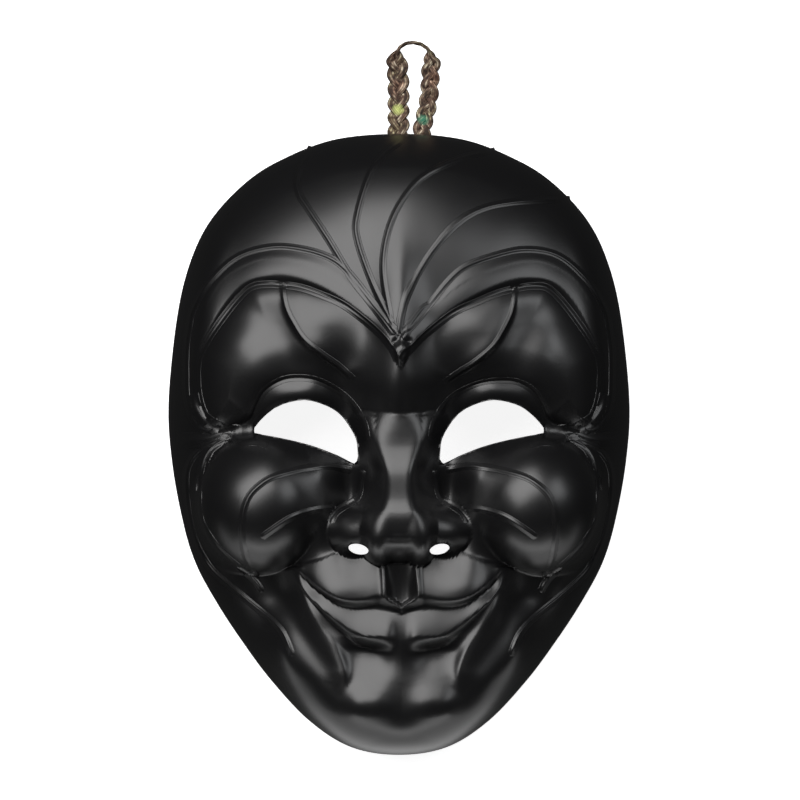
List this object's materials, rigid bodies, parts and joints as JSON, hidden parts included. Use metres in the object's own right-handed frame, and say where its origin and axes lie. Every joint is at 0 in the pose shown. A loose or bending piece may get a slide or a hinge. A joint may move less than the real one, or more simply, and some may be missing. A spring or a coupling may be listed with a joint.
{
  "type": "venetian face mask",
  "caption": "Full-face carnival mask with a wide smile, brow mouldings and swirling forehead lines, hollow behind, with a braided hanging loop.",
  "frame": {"origin": "middle of the mask's rim plane, on the surface it lies on", "axes": "+X across the face to the right of the picture, +Y from chin to forehead, +Z out of the face"},
  "size_m": [0.1786, 0.2791, 0.0879],
  "materials": {
    "black_shell": "satin black, moulded, smooth",
    "braid": "flat gimp braid of brown, taupe and beige threads with a few bright specks"
  },
  "bodies": {
    "root": {"mask_shell": "black_shell", "hanging_loop": "braid"}
  },
  "joints": []
}
